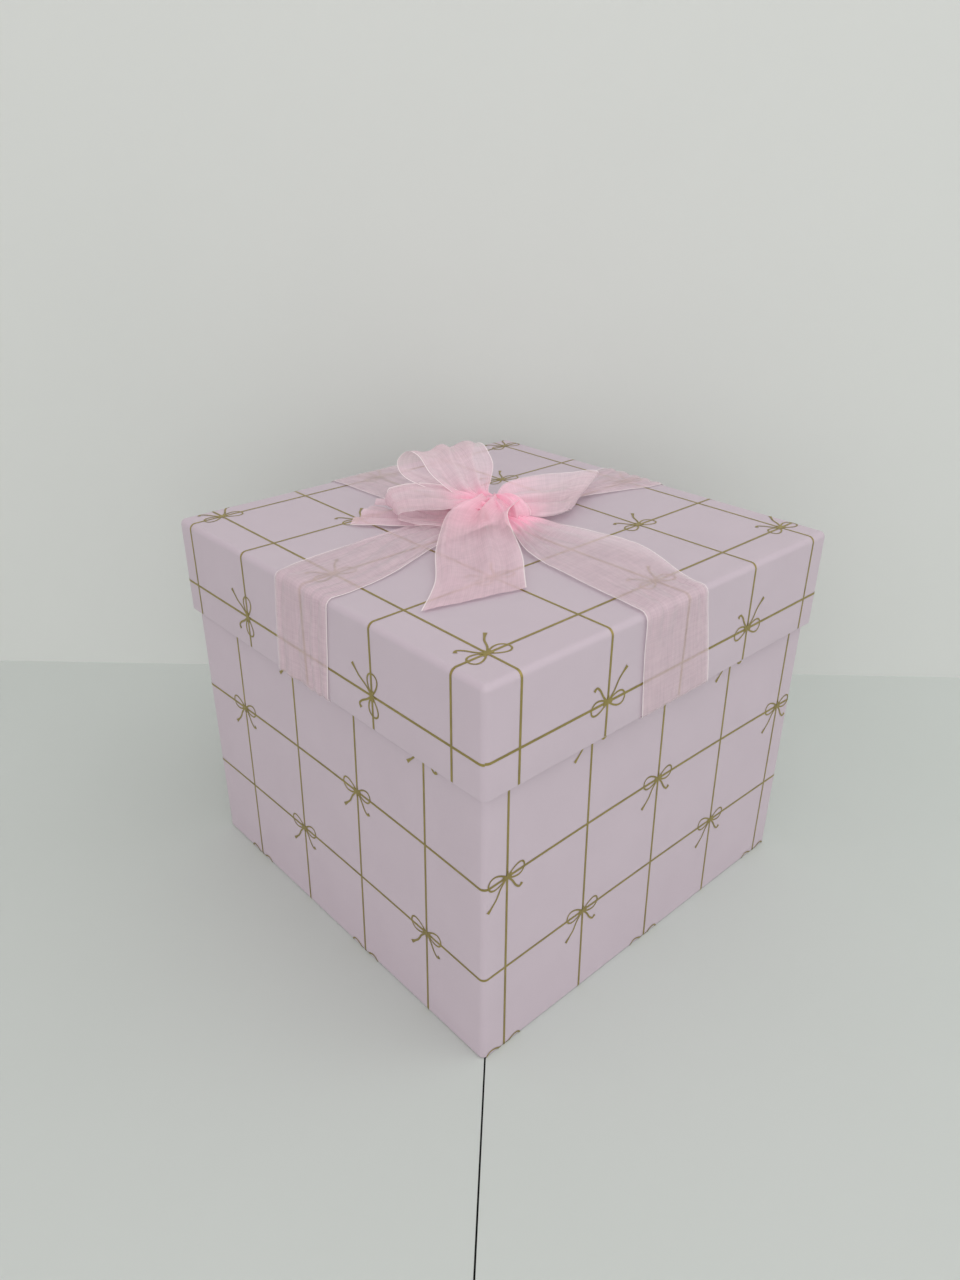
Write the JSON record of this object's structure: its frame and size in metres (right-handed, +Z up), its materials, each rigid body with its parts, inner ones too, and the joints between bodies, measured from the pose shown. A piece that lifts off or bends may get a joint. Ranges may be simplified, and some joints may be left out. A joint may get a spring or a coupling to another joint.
{
  "type": "gift box",
  "caption": "Square rigid paper gift box with a lift-off lid, gold-lined lilac wrap, and a sheer pink ribbon and bow across the lid.",
  "frame": {"origin": "centre of the box's underside, on the surface it stands on", "axes": "+Z up through the lid's knot, +X and +Y square to the walls; front is -Y"},
  "size_m": [0.2084, 0.2084, 0.2095],
  "materials": {
    "greyboard": "uncoated recycled greyboard, matt",
    "wrap_paper": "soft matt laminated paper, pale lilac pink",
    "gold_foil": "stamped gold foil lines and small bows, bright",
    "liner_paper": "plain uncoated white paper",
    "stay_tape": "gummed kraft paper tape",
    "organza": "sheer plain-weave polyester organza, pale pink, shiny selvedges"
  },
  "bodies": {
    "base": {"base_wall_front": "greyboard", "base_wall_right": "greyboard", "base_wall_back": "greyboard", "base_wall_left": "greyboard", "base_corner_stays": "stay_tape", "base_wrap": "wrap_paper", "base_wall_liner": "liner_paper", "base_floor_board": "greyboard", "base_floor_liner": "liner_paper", "base_foot_sheet": "liner_paper"},
    "lid": {"lid_rim_front": "greyboard", "lid_rim_right": "greyboard", "lid_rim_back": "greyboard", "lid_rim_left": "greyboard", "lid_corner_stays": "stay_tape", "lid_top_board": "greyboard", "lid_wrap": "wrap_paper", "lid_rim_liner": "liner_paper", "lid_top_liner": "liner_paper", "ribbon_band_x": "organza", "ribbon_band_y": "organza", "bow_knot": "organza", "bow_loop_back": "organza", "bow_loop_left": "organza", "bow_loop_right": "organza", "bow_tail_front": "organza", "bow_tail_left": "organza"}
  },
  "joints": [
    {"name": "lid_lift", "type": "slide", "parent": "base", "child": "lid", "axis": [0, 0, 1], "range_m": [0, 0.2]}
  ]
}
